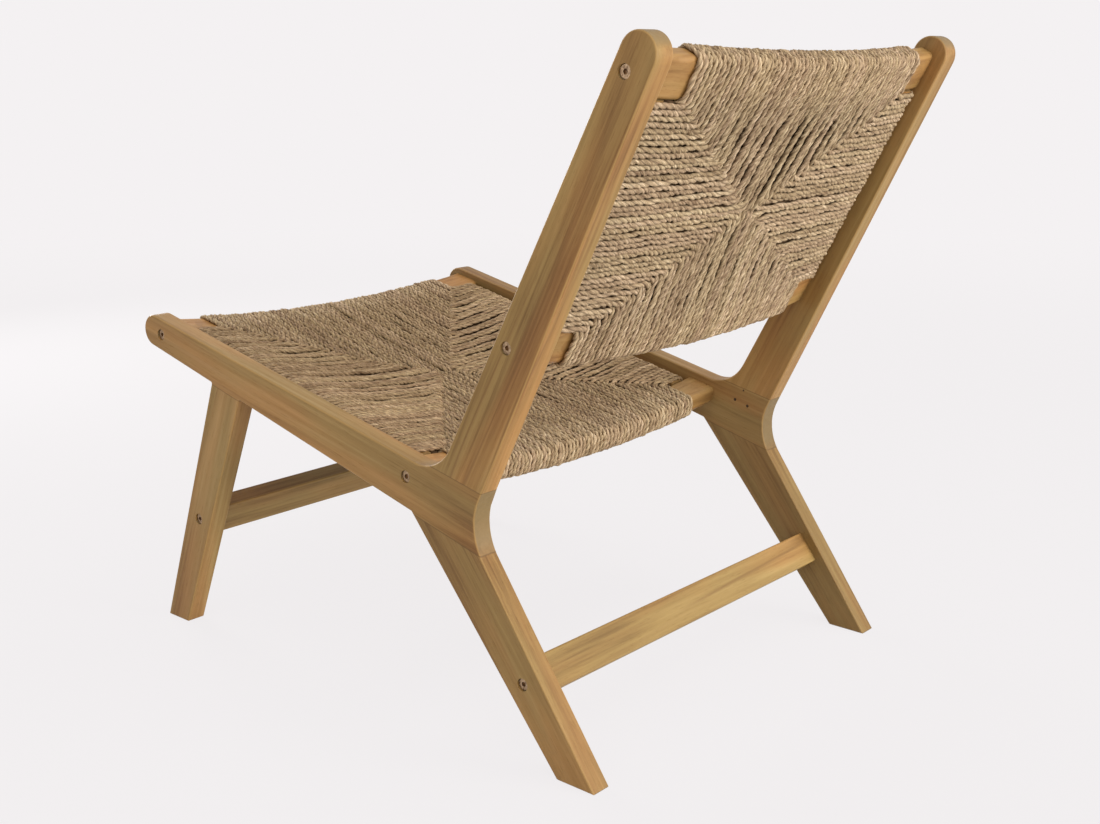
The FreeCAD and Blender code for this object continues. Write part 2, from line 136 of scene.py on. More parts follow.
def oiled_timber(node, along, across, seed, colours, figure, edge_rub_and_sheen, arched=False, glue_lines=()):
    """Solid timber in the board's own frame. Growth rings are circles round a pith that lies beside the
    board and runs a little askew to it, pushed about by slow noise, each ending in a thin dark line that
    comes and goes. In an arched bar the pith lies under its middle and the rings widen along it, so they show
    as pointed arches. Round them lie streaks, olive and reddish zones, an odd dark vein, pores and plain end
    grain. The rounded edges are painted pale, partly as wear and partly as a painted highlight."""
    material, tree, shader = new_material("timber_" + node)
    dark, brown, honey, pale = colours
    low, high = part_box(node)
    through = along.cross(across)
    turn = Matrix((along, across, through)).transposed().to_euler()
    place = tree.nodes.new("ShaderNodeTexCoord")
    middle = (low + high) / 2
    mapping = add_node(tree, "Mapping", place.outputs["Object"], middle, turn, vector_type="TEXTURE")
    board = mapping.outputs[0]

    streaks = noise(tree, board, (5.0, 190.0, 190.0), seed + 3.0, 5.0, 0.62)
    zones = noise(tree, board, (3.4, 19.0, 24.0), seed + 7.0)
    level = calculate(tree, "MULTIPLY_ADD", streaks, 0.45, calculate(tree, "MULTIPLY", zones, 0.55))
    colour = colour_steps(tree, level, [(0.36, dark), (0.46, brown), (0.54, honey), (0.66, pale)])
    tint = noise(tree, board, (3.6, 26.0, 26.0), seed + 17.0)
    tints = [(0.40, (0.94, 1.03, 1.04, 1.0)), (0.60, (1.06, 0.97, 0.93, 1.0))]
    colour = mix_colours(tree, 1.0, colour, colour_steps(tree, tint, tints), "MULTIPLY")

    ring_width = 0.007 if arched else 0.012
    ring_warp = 0.034
    opening = 0.14 if arched else 0.0
    pith_across = 0.004 if arched else 0.030 + 0.05 * (seed * 0.37 % 1.0)
    pith_through = 0.045 + 0.03 * (seed * 0.61 % 1.0)
    askew = 0.06 * (seed * 0.83 % 1.0) - 0.03
    parts = add_node(tree, "SeparateXYZ", board).outputs
    drift = calculate(tree, "MULTIPLY_ADD", parts[0], askew, pith_across)
    aside = calculate(tree, "ADD", parts[1], drift)
    beneath = calculate(tree, "ADD", parts[2], pith_through)
    from_pith = add_node(tree, "CombineXYZ", 0.0, aside, beneath).outputs[0]
    radius = add_node(tree, "VectorMath", from_pith, operation="LENGTH").outputs["Value"]
    warp = noise(tree, board, (2.4, 12.0, 12.0), seed, 3.0, 0.55)
    widened = calculate(tree, "MULTIPLY_ADD", parts[0], opening, radius)
    warped = calculate(tree, "MULTIPLY_ADD", warp, ring_warp, widened)
    phase = calculate(tree, "FRACT", calculate(tree, "DIVIDE", warped, ring_width))
    darkening = between(tree, phase, 0.25, 0.88)
    ending = between(tree, phase, 0.90, 1.0, 1.0, 0.0)
    late_wood = calculate(tree, "MULTIPLY", darkening, ending)
    clear = between(tree, noise(tree, board, (1.6, 22.0, 22.0), seed + 5.0), 0.38, 0.62)
    lines = calculate(tree, "MULTIPLY", late_wood, clear)
    colour = mix_colours(tree, calculate(tree, "MULTIPLY", lines, figure), colour, dark)

    contour = calculate(tree, "SUBTRACT", noise(tree, board, (1.0, 19.0, 19.0), seed + 13.0), 0.5)
    vein = between(tree, calculate(tree, "ABSOLUTE", contour), 0.0, 0.022, 0.6, 0.0)
    strong = between(tree, noise(tree, board, (2.0, 9.0, 9.0), seed + 19.0), 0.46, 0.60)
    colour = mix_colours(tree, calculate(tree, "MULTIPLY", vein, strong), colour, dark)
    pores = between(tree, noise(tree, board, (70.0, 1500.0, 1500.0), seed + 11.0, 1.0), 0.60, 0.74)
    colour = mix_colours(tree, calculate(tree, "MULTIPLY", pores, 0.35), colour, shaded(dark, 0.7))

    end_on = calculate(tree, "ABSOLUTE", dot(tree, place.outputs["Normal"], along))
    end_grain = (brown[0] * 0.74, brown[1] * 0.92, brown[2] * 1.25, 1.0)
    colour = mix_colours(tree, between(tree, end_on, 0.62, 0.90, 0.0, 0.85), colour, end_grain)
    # Rounded edges painted pale, partly as wear and partly as a painted highlight on the arris
    face_on = dot(tree, place.outputs["Normal"], through)
    flat = calculate(tree, "MULTIPLY", face_on, face_on)
    arris = calculate(tree, "MULTIPLY", flat, calculate(tree, "SUBTRACT", 1.0, flat))
    colour = mix_colours(tree, calculate(tree, "MULTIPLY", arris, edge_rub_and_sheen), colour, pale)
    for point, square in glue_lines:
        away = add_node(tree, "VectorMath", place.outputs["Object"], point, operation="SUBTRACT").outputs[0]
        off = calculate(tree, "ABSOLUTE", dot(tree, away, square))
        colour = mix_colours(tree, between(tree, off, 0.0003, 0.0009, 0.45, 0.0), colour, shaded(dark, 0.5))
    tree.links.new(colour, shader.inputs["Base Color"])

    rough = between(tree, streaks, 0.30, 0.70, 0.56, 0.44)
    tree.links.new(calculate(tree, "MULTIPLY_ADD", pores, 0.2, rough), shader.inputs["Roughness"])
    shader.inputs["Specular IOR Level"].default_value = 0.3
    height = calculate(tree, "MULTIPLY_ADD", pores, -0.8, calculate(tree, "MULTIPLY", streaks, 0.6))
    relief(tree, shader, height, 0.3, 0.0004)
    return material


def in_profile(degrees):
    """Unit vector in the chair's side profile, turned up from level rearwards."""
    angle = math.radians(degrees)
    return Vector((0.0, math.cos(angle), math.sin(angle)))


frame_colours = [
    (0.185, 0.088, 0.024, 1.0),
    (0.305, 0.165, 0.050, 1.0),
    (0.360, 0.202, 0.064, 1.0),
    (0.440, 0.262, 0.092, 1.0),
]
# Paler edges on the frame boards: partly wear, partly painted highlight
frame_edge_rub_and_sheen = 2.4
front_leg_lean = 68.2
rear_leg_lean = 127.95

# Glue lines: each runs at its own lean, so far above or below the centre of the seat rail's round nose
nose_centre = Vector((0.0, -0.3825, 0.3845))
post_glue_lean = -12.4
post_glue_off = 0.0255
leg_glue_lean = -14.4
leg_glue_off = -0.021
post_square = in_profile(90.0 + post_glue_lean)
leg_square = in_profile(90.0 + leg_glue_lean)
post_glue = (nose_centre + post_square * post_glue_off, post_square)
leg_glue = (nose_centre + leg_square * leg_glue_off, leg_square)

# Name of the board, lean of its grain in degrees, strength of its rings, its tone left and right,
# and the glue lines on it. The tone is partly the board's own and partly painted light and shade: the near
# left frame is painted lighter and the far right frame darker, as painted shade.
boards = [
    ("seat_rail", -13.4, 0.28, (1.00, 0.84), [post_glue, leg_glue]),
    ("back_post", 62.6, 0.10, (1.08, 0.94), [post_glue]),
    ("rear_leg", rear_leg_lean, 0.22, (1.00, 0.78), [leg_glue]),
    ("front_leg", front_leg_lean, 0.14, (0.96, 0.84), [leg_glue]),
]
for side_number, side in enumerate(("left", "right")):
    for number, (board_name, lean, figure, tones, lines) in enumerate(boards):
        board_node = side + "_" + board_name
        # Painted light and shade: each side's boards are made lighter or darker by their tone
        colours = [shaded(colour, tones[side_number]) for colour in frame_colours]
        seed = 1.7 + 5.3 * number + 29.1 * side_number
        along = in_profile(lean)
        across = in_profile(lean + 90.0)
        timber = oiled_timber(board_node, along, across, seed, colours, figure, frame_edge_rub_and_sheen, glue_lines=lines)
        dress(board_node, timber)

# Dowels
# Turned beech pegs: glued ones hold the boards of each side frame together, loose ones beside the bolts
# keep the cross pieces from turning. They are plain, pale and unoiled.


def turned_beech():
    """Pale wood with fine flecks along X, the way the loose dowels lie."""
    material, tree, shader = new_material("turned_beech")
    place = tree.nodes.new("ShaderNodeTexCoord").outputs["Object"]
    flecks = noise(tree, place, (120.0, 900.0, 900.0), 4.0, 3.0)
    colour = colour_steps(tree, flecks, [(0.35, (0.42, 0.27, 0.13, 1.0)), (0.65, (0.62, 0.45, 0.26, 1.0))])
    tree.links.new(colour, shader.inputs["Base Color"])
    shader.inputs["Roughness"].default_value = 0.65
    relief(tree, shader, flecks, 0.2, 0.0003)
    return material


beech = turned_beech()
for dowel_node in ("post_dowels", "rear_leg_dowels", "front_leg_dowels", "locating_dowels"):
    dress(dowel_node, beech)

# Cross rails, side sticks and stretchers
# Bars of the same oiled hardwood, from paler stock, between the two side frames. The four cross rails are
# dished to the sitter and bare for about 50 mm at each end, where their bold grain shows.

rail_colours = [
    (0.210, 0.095, 0.026, 1.0),
    (0.340, 0.177, 0.054, 1.0),
    (0.396, 0.213, 0.068, 1.0),
    (0.466, 0.272, 0.096, 1.0),
]
stretcher_colours = [
    (0.195, 0.098, 0.028, 1.0),
    (0.312, 0.176, 0.054, 1.0),
    (0.366, 0.214, 0.068, 1.0),
    (0.440, 0.266, 0.092, 1.0),
]
# Painted shade: the front stretcher's colours are made darker, as the shade under the seat
front_stretcher_shade = 0.86
front_stretcher_shaded_colours = [shaded(colour, front_stretcher_shade) for colour in stretcher_colours]
# Paler edges on the bars and sticks: partly wear, partly painted highlight
bar_edge_rub_and_sheen = 0.6
stick_edge_rub_and_sheen = 1.5
stick_figure = 0.3
x_axis = Vector((1.0, 0.0, 0.0))
seat_lean = -12.6
back_lean = 90.0 - 28.4

# Name of the bar, lean of its width in degrees, strength of its rings, whether they arch, its colours
cross_bars = [
    ("seat_front_rail", seat_lean, 0.60, True, rail_colours),
    ("seat_rear_rail", seat_lean, 0.50, True, rail_colours),
    ("back_bottom_rail", back_lean, 0.50, True, rail_colours),
    ("back_top_rail", back_lean, 0.70, True, rail_colours),
    ("front_stretcher", front_leg_lean, 0.25, False, front_stretcher_shaded_colours),
    ("rear_stretcher", rear_leg_lean, 0.25, False, stretcher_colours),
]
for number, (bar_node, lean, figure, arched, colours) in enumerate(cross_bars):
    seed = 60.3 + 7.9 * number
    dress(bar_node, oiled_timber(bar_node, x_axis, in_profile(lean), seed, colours, figure, bar_edge_rub_and_sheen, arched))
for number, side in enumerate(("left", "right")):
    for panel, lean in (("seat", seat_lean), ("back", back_lean)):
        stick_node = side + "_" + panel + "_stick"
        seed = 110.9 + 4.1 * number + lean
        along = in_profile(lean)
        timber = oiled_timber(stick_node, along, x_axis, seed, rail_colours, stick_figure, stick_edge_rub_and_sheen)
        dress(stick_node, timber)

# Woven seat and back
# Two-ply twisted grass rope, about 6.5 mm thick. Each round is a hairpin: out of the panel's inside on one
# face, over a rail or side stick and back in on the other face. Four fields of them meet on the diagonals.

rope_radius = 0.0034
rope_flatness = 0.80
rope_lie = 0.0024
rope_lay = 0.021
ring_step = 0.0022
ring_points = 8
rail_half_width = 0.0225
rail_half_thickness = 0.011
rail_corner = 0.006
rail_dish = 0.018
stick_middle = 0.2370
stick_half_width = 0.012
stick_half_thickness = 0.011
stick_corner = 0.006
half_span = 0.260
column_edge = 0.211
bridge_columns = 4
edge_slack = 0.001
middle_slack = 0.010
rope_draw = np.random.default_rng(28)


def dish_at(x):
    """Height of the panel's middle surface across the chair: an arc through both ends of the rails and their
    lowest middle, held level past the middle of the side stick."""
    radius = (half_span ** 2 + rail_dish ** 2) / (2.0 * rail_dish)
    return radius - rail_dish - np.sqrt(radius ** 2 - np.minimum(np.abs(x), stick_middle) ** 2)


def smooth_step(share):
    """From 0 to 1 with level ends: 3 t squared less 2 t cubed."""
    held = np.clip(share, 0.0, 1.0)
    return held * held * (3.0 - 2.0 * held)


def face_height(x, v, spacing):
    """Height of the rope's middle above the panel's middle surface: one rope's half above the rail at both
    rails, drawn in between them as a parabola, deepest on the chair's centre line."""
    rail_hold = 0.010
    sag = np.clip(1.0 - ((v - spacing / 2.0) / (spacing / 2.0 - rail_hold)) ** 2, 0.0, 1.0)
    slack = edge_slack + (middle_slack - edge_slack) * np.clip(1.0 - (x / column_edge) ** 2, 0.0, 1.0)
    return rail_half_thickness + rope_lie - slack * sag


def height_by_stick(x, v, spacing):
    """The same height, led back to one rope's half above the side stick over the last stretch before it."""
    lead_start = 0.203
    lead_run = 0.026
    near_stick = smooth_step((np.abs(x) - lead_start) / lead_run)
    height = face_height(x, v, spacing)
    return height + (stick_half_thickness + rope_lie - height) * near_stick


def hairpin(start, bar_middle, half_width, half_height, corner, face):
    """One round of rope over a bar, as (outward, height) points: along the face to the bar, a quarter circle
    over the bar's edge, and the same mirrored on the other face."""
    point_step = 0.0015
    least_points = 6
    turn_points = 9
    reach = bar_middle + half_width - corner
    count = max(least_points, int((reach - start) / point_step))
    run = np.linspace(start, reach, count)
    turn = np.linspace(math.pi / 2.0, 0.0, turn_points)[1:]
    outward = np.concatenate((run, reach + corner * np.cos(turn)))
    height = np.concatenate((face(run), half_height - corner + corner * np.sin(turn)))
    return np.concatenate((outward, outward[::-1])), np.concatenate((height, -height[::-1]))


def dive(outward, start, height):
    """Height of a face run whose inner end dips towards the panel's middle surface over a short run."""
    deepest = 0.0068
    least_height = 0.0006
    dive_run = 0.0095
    depth = np.minimum(deepest, height - least_height)
    return height - depth * (1.0 - smooth_step((outward - start) / dive_run))


def tuck_bend(outward, start):
    """How far a strand is drawn aside at its inner end, where it goes in behind the strand it meets."""
    aside = 0.0042
    bend_run = 0.015
    return aside * (1.0 - smooth_step((outward - start) / bend_run))


def bunches(count, pitch, tightness):
    """How far each of a row of strands moves to the middle of its bunch of two or three: its distance from
    there times a share up to the tightness."""
    moves = np.zeros(count)
    first = 0
    while first < count:
        last = min(count, first + int(rope_draw.integers(2, 4)))
        middle = (first + last - 1) / 2.0
        moves[first:last] = (middle - np.arange(first, last)) * pitch * rope_draw.uniform(0.0, tightness)
        first = last
    return moves


def column_paths(spacing, tucks, far_rail, tightness):
    """Rope's middle lines over one rail, as local (across, along, up) points, one for each column. Well
    clear of the rail the columns draw together in bunches, on the face away from the sitter most."""
    free_start = 0.026
    free_run = 0.030
    end_hold = 0.004
    end_run = 0.022
    end_range = (-0.0012, 0.0008)
    sitter_share = 0.45
    centre_run = 0.02
    count = len(tucks)
    pitch = 2.0 * column_edge / count
    moves = bunches(count, pitch, tightness)
    paths = []
    for number, tuck in enumerate(tucks):
        x = -column_edge + pitch * (number + 0.5)
        start = -tuck + rope_draw.uniform(*end_range)

        def face(outward):
            return dive(outward, start, face_height(x, -outward, spacing))

        outward, height = hairpin(start, 0.0, rail_half_width + rope_lie, rail_half_thickness + rope_lie,
                                  rail_corner + rope_lie, face)
        v = spacing + outward if far_rail else -outward
        bend = tuck_bend(outward, start) * np.sign(x) * min(1.0, abs(x) / centre_run)
        off_rail = smooth_step((-outward - free_start) / free_run)
        loose = off_rail * smooth_step((outward - start - end_hold) / end_run)
        bend = bend + moves[number] * loose * np.where(height < 0.0, 1.0, sitter_share)
        paths.append(np.stack((x + bend, v, dish_at(x) + height), axis=1))
    return paths


def row_paths(spacing, places, inner_ends, meeting, side, tightness):
    """Rope's middle lines over one side stick, one for each row: level with the stick outside, led to the
    panel's face inside, and with a low ridge where the row goes over the columns it covers."""
    overrun = 0.005
    end_range = 0.0010
    ridge_rise = 0.0012
    ridge_place = 0.004
    ridge_run = 0.006
    end_hold = 0.004
    end_run = 0.03
    stick_hold = 0.215
    stick_run = 0.04
    moves = bunches(len(places), places[1] - places[0], tightness)
    paths = []
    for number, (v, inner_end) in enumerate(zip(places, inner_ends)):
        start = inner_end - overrun + rope_draw.uniform(-end_range, end_range)

        def face(outward):
            ridge = ridge_rise * np.exp(-((outward - inner_end - ridge_place) / ridge_run) ** 2)
            return dive(outward, start, height_by_stick(outward, v, spacing) + ridge)

        outward, height = hairpin(start, stick_middle, stick_half_width + rope_lie,
                                  stick_half_thickness + rope_lie, stick_corner + rope_lie, face)
        off_end = smooth_step((outward - start - end_hold) / end_run)
        loose = off_end * smooth_step((stick_hold - outward) / stick_run)
        bend = tuck_bend(outward, start) * np.sign(v - meeting) + moves[number] * loose
        paths.append(np.stack((side * outward, v + bend, dish_at(outward) + height), axis=1))
    return paths


def even_steps(path):
    """The same line with points at even steps, and the distance run to each of them."""
    run = np.concatenate(([0.0], np.cumsum(np.linalg.norm(np.diff(path, axis=0), axis=1))))
    at = np.linspace(0.0, run[-1], max(12, int(run[-1] / ring_step)))
    return np.stack([np.interp(at, run, path[:, axis]) for axis in range(3)], axis=1), at


def strand_lines(paths, side_axis):
    """All strands of a field as one row of points: their places, with each strand's own sway and lift as
    sines of the distance run, their spin about the strand, one turn a lay and a little uneven, the rope's
    radius there, the distance run, a number from 0 to 1 for the strand, and each strand's first point."""
    slow_sway = 0.0006
    slow_run = 0.030
    quick_sway = 0.0008
    quick_run = 0.0060
    apart = 0.0007
    bar_hold = 0.035
    bar_run = 0.05
    bar_share = 0.3
    lift_size = 0.0004
    lift_run = 0.014
    lift_range = (-0.0007, 0.0003)
    lay_range = (0.8, 1.25)
    slow_twist_run = 0.021
    quick_twist = 0.5
    quick_twist_run = 0.0093
    swell_size = 0.08
    swell_run = 0.011
    radius_range = (0.96, 1.10)
    side = np.asarray(side_axis, float)
    up = np.array((0.0, 0.0, 1.0))
    places, spins, sizes, runs, strands, firsts = [], [], [], [], [], []
    total = 0
    for path in paths:
        points, run = even_steps(path)
        phases = rope_draw.uniform(0.0, 2.0 * math.pi, 7)
        loose = smooth_step((np.abs(run - run[-1] / 2.0) - bar_hold) / bar_run)
        sway = slow_sway * np.sin(run / slow_run + phases[0]) + rope_draw.uniform(-apart, apart)
        sway = sway + quick_sway * np.sin(run / quick_run + phases[1])
        sway = sway * (bar_share + (1.0 - bar_share) * loose)
        lift = lift_size * np.sin(run / lift_run + phases[2]) + rope_draw.uniform(*lift_range)
        places.append(points + sway[:, None] * side + lift[:, None] * up)
        lay = rope_lay * rope_draw.uniform(*lay_range)
        slow_twist = np.sin(run / slow_twist_run + phases[4])
        uneven = slow_twist + quick_twist * np.sin(run / quick_twist_run + phases[6])
        spins.append(2.0 * math.pi * run / lay + phases[3] + uneven)
        swell = 1.0 + swell_size * np.sin(run / swell_run + phases[5])
        sizes.append(rope_radius * rope_draw.uniform(*radius_range) * swell)
        runs.append(run)
        strands.append(np.full(len(run), rope_draw.uniform()))
        firsts.append(total)
        total += len(run)
    rows = [np.concatenate(parts) for parts in (places, spins, sizes, runs, strands)]
    return rows + [np.array(firsts)]


def ply_outline():
    """Angle and radius, as a share of the rope's, of two round plies pressed together: for plies of radius a
    at an offset c, the edge lies at c times the cosine plus the root of a squared less (c times the sine)
    squared."""
    ply_radius = 0.70
    ply_offset = 0.30
    angle = np.arange(ring_points) * 2.0 * math.pi / ring_points
    edge = ply_offset * np.abs(np.cos(angle)) + np.sqrt(ply_radius ** 2 - (ply_offset * np.sin(angle)) ** 2)
    return angle, edge


def to_chair(points, panel_matrix):
    """Points in a panel's own frame, carried into the chair's."""
    return points @ np.asarray(panel_matrix.to_3x3()).T + np.asarray(panel_matrix.translation)


def new_piece(name, vertices, faces):
    """Object at the origin with a smooth mesh of vertices and faces."""
    mesh = bpy.data.meshes.new(name)
    mesh.from_pydata(vertices, [], faces, shade_flat=False)
    piece = bpy.data.objects.new(name, mesh)
    bpy.context.scene.collection.objects.link(piece)
    return piece


def rope_field(name, paths, side_axis, panel_matrix):
    """One field of a woven panel: the two-ply outline carried along each strand's line as rings, turned once
    a lay about it, with a fan from the line's end to the ring at each end."""
    places, spin, size, run, strand, first = strand_lines(paths, side_axis)
    middle = to_chair(places, panel_matrix)
    total = len(middle)
    last = np.append(first[1:], total) - 1
    ahead = np.minimum(np.arange(total) + 1, total - 1)
    behind = np.maximum(np.arange(total) - 1, 0)
    ahead[last] = last
    behind[first] = first
    tangent = middle[ahead] - middle[behind]
    tangent /= np.linalg.norm(tangent, axis=1)[:, None]
    side = np.asarray(panel_matrix.to_3x3() @ Vector(side_axis))
    side = side - (tangent @ side)[:, None] * tangent
    side /= np.linalg.norm(side, axis=1)[:, None]
    rise = np.cross(tangent, side)

    angle, edge = ply_outline()
    turned = spin[:, None] + angle[None, :]
    reach = size[:, None] * edge[None, :]
    ring = (middle[:, None, :] + (reach * np.cos(turned))[:, :, None] * side[:, None, :]
            + (rope_flatness * reach * np.sin(turned))[:, :, None] * rise[:, None, :])
    vertices = np.concatenate((ring.reshape(-1, 3), middle[first], middle[last]))

    point = np.arange(ring_points)[None, :]
    following = (point + 1) % ring_points
    rings = np.delete(np.arange(total), last)[:, None] * ring_points
    next_rings = rings + ring_points
    quads = np.stack((rings + point, rings + following, next_rings + following, next_rings + point), axis=2)
    quads = quads.reshape(-1, 4)
    start_hub = np.repeat(total * ring_points + np.arange(len(first)), ring_points).reshape(-1, ring_points)
    end_hub = start_hub + len(first)
    first_ring = first[:, None] * ring_points
    last_ring = last[:, None] * ring_points
    start_fan = np.stack((start_hub, first_ring + following, first_ring + point), axis=2).reshape(-1, 3)
    end_fan = np.stack((end_hub, last_ring + point, last_ring + following), axis=2).reshape(-1, 3)
    piece = new_piece(name, vertices.tolist(), quads.tolist() + start_fan.tolist() + end_fan.tolist())

    mesh = piece.data
    strand_of = np.concatenate((np.repeat(strand, ring_points), strand[first], strand[last]))
    mesh.attributes.new("strand", "FLOAT", "POINT").data.foreach_set("value", strand_of.astype(np.float32))
    hubs = np.zeros(2 * len(first))
    crown = np.concatenate((np.tile(edge, total), hubs))
    mesh.attributes.new("ply_crown", "FLOAT", "POINT").data.foreach_set("value", crown.astype(np.float32))
    uv_per_metre = 10.0
    along = np.concatenate((np.repeat(run, ring_points), run[first], run[last]))
    around = np.concatenate((np.tile(np.arange(ring_points) / ring_points, total), hubs))
    corners = np.concatenate((quads.ravel(), start_fan.ravel(), end_fan.ravel()))
    seam = np.repeat(around[quads[:, 1]] == 0.0, 4)
    corner_around = around[corners]
    corner_around[:4 * len(quads)] += np.tile((0.0, 1.0, 1.0, 0.0), len(quads)) * seam
    uv = np.stack((along[corners] * uv_per_metre, corner_around), axis=1)
    mesh.uv_layers.new(name="rope_run").data.foreach_set("uv", uv.ravel().astype(np.float32))
    return piece


def twisted_grass(name, tint, along, middle, spacing):
    """Dry grass rope: straw, olive and mauve-brown from strand to strand, paler and darker along each, with
    grass blades and fine fibres that follow the plies, and painted shade in the groove between the plies. The
    panel is painted darker by a tint as painted shade, all but the rolls over its two rails, which lie half
    the spacing from its middle and are left paler, as painted light from above."""
    material, tree, shader = new_material(name)
    parts = add_node(tree, "SeparateXYZ", add_node(tree, "UVMap", uv_map="rope_run").outputs[0]).outputs
    turn = calculate(tree, "MULTIPLY", parts[1], 2.0 * math.pi)
    level = calculate(tree, "COSINE", turn)
    upright = calculate(tree, "SINE", turn)
    around = add_node(tree, "CombineXYZ", parts[0], level, upright).outputs[0]
    strand = add_node(tree, "Attribute", attribute_name="strand").outputs["Fac"]
    crown = add_node(tree, "Attribute", attribute_name="ply_crown").outputs["Fac"]
    seed = calculate(tree, "MULTIPLY", strand, 90.0)
    patches = noise(tree, around, (2.6, 0.4, 0.4), seed, 3.0, 0.6)
    blades = noise(tree, around, (13.0, 1.6, 1.6), seed, 2.0)
    fibres = noise(tree, around, (18.0, 6.0, 6.0), seed, 3.0, 0.65)
    tone = calculate(tree, "MULTIPLY_ADD", strand, 0.10, 0.025)
    tone = calculate(tree, "MULTIPLY_ADD", patches, 0.30, tone)
    tone = calculate(tree, "MULTIPLY_ADD", blades, 0.55, tone)
    colour = colour_steps(tree, tone, [
        (0.34, (0.207, 0.123, 0.063, 1.0)),
        (0.45, (0.431, 0.302, 0.179, 1.0)),
        (0.55, (0.605, 0.448, 0.280, 1.0)),
        (0.68, (0.874, 0.694, 0.482, 1.0)),
    ])
    olive_or_mauve = calculate(tree, "FRACT", calculate(tree, "MULTIPLY", strand, 13.0))
    hues = [(0.2, (0.99, 1.00, 0.95, 1.0)), (0.8, (1.01, 0.99, 1.00, 1.0))]
    colour = mix_colours(tree, 1.0, colour, colour_steps(tree, olive_or_mauve, hues), "MULTIPLY")
    place = tree.nodes.new("ShaderNodeTexCoord").outputs["Object"]
    # Painted shade: the panel's colour is multiplied by its tint, except over the two rolls, which stay paler
    # as painted light
    off_middle = calculate(tree, "ABSOLUTE", calculate(tree, "SUBTRACT", dot(tree, place, along), middle))
    panel_shade_share = between(tree, off_middle, spacing / 2.0 - 0.035, spacing / 2.0 + 0.005, 1.0, 0.0)
    colour = mix_colours(tree, panel_shade_share, colour, tint, "MULTIPLY")
    fibre_tones = [(0.34, (0.55, 0.50, 0.45, 1.0)), (0.60, (1.14, 1.12, 1.08, 1.0))]
    colour = mix_colours(tree, 1.0, colour, colour_steps(tree, fibres, fibre_tones), "MULTIPLY")
    # Painted shade in the groove between the two plies, where the outline's radius is least
    groove_shade = between(tree, crown, 0.66, 0.78, 0.55, 0.0)
    colour = mix_colours(tree, groove_shade, colour, (0.085, 0.048, 0.024, 1.0))
    tree.links.new(colour, shader.inputs["Base Color"])
    shader.inputs["Roughness"].default_value = 0.72
    shader.inputs["Specular IOR Level"].default_value = 0.3
    relief(tree, shader, fibres, 0.6, 0.0009)
    return material


def inner_turns(name, spacing, panel_matrix):
    """The rope's turns inside a panel, as one closed cushion: a grid of rail to rail by stick to stick, its
    two faces one rope's half below the strands' middle lines, joined round the rim."""
    columns, rows = 61, 41
    stick_edge = 0.2225
    rail_edge = 0.0230
    room = 0.0004
    thinnest = 0.0006
    across = np.linspace(-stick_edge, stick_edge, columns)
    x, v = np.meshgrid(across, np.linspace(rail_edge, spacing - rail_edge, rows))
    thick = np.maximum(height_by_stick(x, v, spacing) - rope_radius - room, thinnest)
    faces = [np.stack((x, v, dish_at(x) + side * thick), axis=2).reshape(-1, 3) for side in (1.0, -1.0)]
    points = to_chair(np.concatenate(faces), panel_matrix)
    index = np.arange(columns * rows).reshape(rows, columns)
    near, right, far, left = index[:-1, :-1], index[:-1, 1:], index[1:, 1:], index[1:, :-1]
    top = np.stack((near, right, far, left), axis=2).reshape(-1, 4)
    rim = np.concatenate((index[0, :-1], index[:-1, -1], index[-1, :0:-1], index[:0:-1, 0]))
    following = np.roll(rim, -1)
    below = columns * rows
    edge = np.stack((following, rim, rim + below, following + below), axis=1)
    return new_piece(name, points.tolist(), np.concatenate((top, top[:, ::-1] + below, edge)).tolist())


def shaded_grass():
    """The same grass where no light falls on it: dark brown, a little uneven."""
    material, tree, shader = new_material("shaded_grass")
    place = tree.nodes.new("ShaderNodeTexCoord").outputs["Object"]
    blotches = noise(tree, place, (90.0, 90.0, 90.0), 3.0, 3.0)
    tones = [(0.35, (0.060, 0.034, 0.017, 1.0)), (0.65, (0.120, 0.074, 0.040, 1.0))]
    tree.links.new(colour_steps(tree, blotches, tones), shader.inputs["Base Color"])
    shader.inputs["Roughness"].default_value = 0.9
    shader.inputs["Specular IOR Level"].default_value = 0.1
    relief(tree, shader, blotches, 0.5, 0.002)
    return material


def even_covers(columns, rows):
    """How many columns each row covers, so that the rows share them out evenly."""
    return np.diff(np.round(np.linspace(0.0, columns, rows + 1)).astype(int))


inner_rope = shaded_grass()


